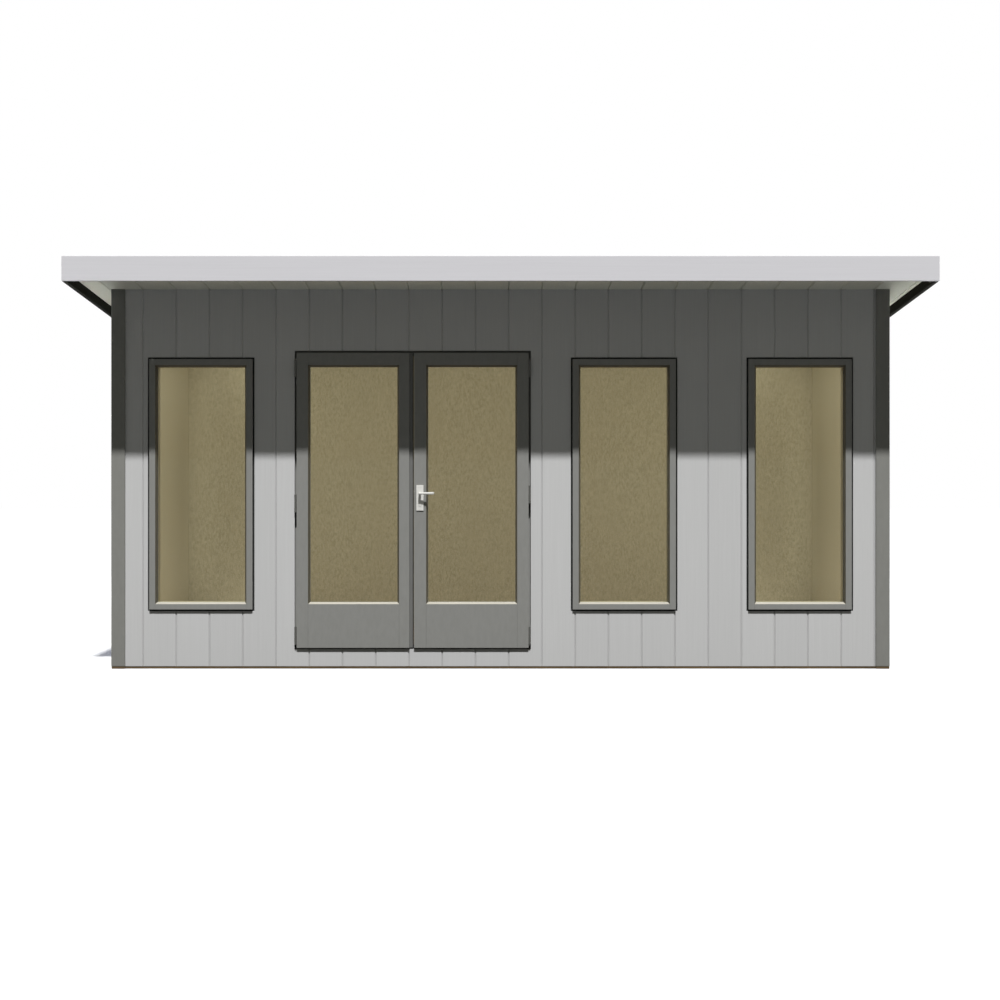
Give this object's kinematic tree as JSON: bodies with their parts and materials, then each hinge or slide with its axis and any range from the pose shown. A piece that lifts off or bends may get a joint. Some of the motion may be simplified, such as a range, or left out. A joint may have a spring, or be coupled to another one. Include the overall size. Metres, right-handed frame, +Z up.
{
  "type": "garden office",
  "caption": "Insulated timber garden office with a pent roof, deep front overhang, glazed doors that open outwards and tall fixed windows.",
  "frame": {"origin": "on the ground, under the middle of the roof's outline", "axes": "+X along the front to the viewer's right, +Y from the front to the back, +Z up; the doors face -Y"},
  "size_m": [5.17, 3.21, 2.4915],
  "materials": {
    "treated_timber": "rough",
    "floor_boards": "matte",
    "wall_panel": "matte",
    "cladding_paint": "matte",
    "joinery_paint": "satin",
    "soffit_boards": "matte",
    "roof_core": "matte",
    "roof_rubber": "matte",
    "fascia_paint": "satin",
    "clear_glass": "gloss",
    "hinge_steel": "satin",
    "handle_metal": "satin"
  },
  "bodies": {
    "building": {"ground_bearers": "treated_timber", "floor_deck": "floor_boards", "front_wall_left": "wall_panel", "front_wall_right": "wall_panel", "front_wall_over_door": "wall_panel", "left_wall": "wall_panel", "right_wall": "wall_panel", "back_wall": "wall_panel", "front_cladding_left": "cladding_paint", "front_cladding_right": "cladding_paint", "front_cladding_over_door": "cladding_paint", "front_cladding_under_door": "cladding_paint", "left_cladding": "cladding_paint", "right_cladding": "cladding_paint", "back_cladding": "cladding_paint", "trim_front_left": "joinery_paint", "trim_front_right": "joinery_paint", "trim_back_left": "joinery_paint", "trim_back_right": "joinery_paint", "left_barge": "joinery_paint", "right_barge": "joinery_paint", "window_frame_left": "joinery_paint", "window_frame_middle": "joinery_paint", "window_frame_right": "joinery_paint", "door_jambs": "joinery_paint", "door_head": "joinery_paint", "door_threshold": "joinery_paint", "roof_boards": "soffit_boards", "roof_panel": "roof_core", "roof_membrane": "roof_rubber", "front_fascia": "fascia_paint", "back_fascia": "fascia_paint", "window_glass_left": "clear_glass", "window_glass_middle": "clear_glass", "window_glass_right": "clear_glass", "frame_hinges": "hinge_steel"},
    "left_door": {"left_door_leaf": "joinery_paint", "left_door_glass": "clear_glass", "meeting_strip": "joinery_paint", "left_door_hinges": "hinge_steel"},
    "right_door": {"right_door_leaf": "joinery_paint", "right_door_glass": "clear_glass", "right_door_hinges": "hinge_steel", "handle_plates": "handle_metal"},
    "lever": {"door_lever": "handle_metal"}
  },
  "joints": [
    {"name": "left_door_hinge", "type": "hinge", "parent": "building", "child": "left_door", "pos_m": [-1.2715, -0.973, 1.045], "axis": [0, 0, -1], "range_deg": [0, 110]},
    {"name": "right_door_hinge", "type": "hinge", "parent": "building", "child": "right_door", "pos_m": [0.1815, -0.973, 1.045], "axis": [0, 0, 1], "range_deg": [0, 110]},
    {"name": "lever_turn", "type": "hinge", "parent": "right_door", "child": "lever", "pos_m": [-0.4995, -0.948, 1.089], "axis": [0, 1, 0], "range_deg": [0, 40], "stiffness_Nm_per_rad": 1.2, "springref_deg": -34.38}
  ]
}
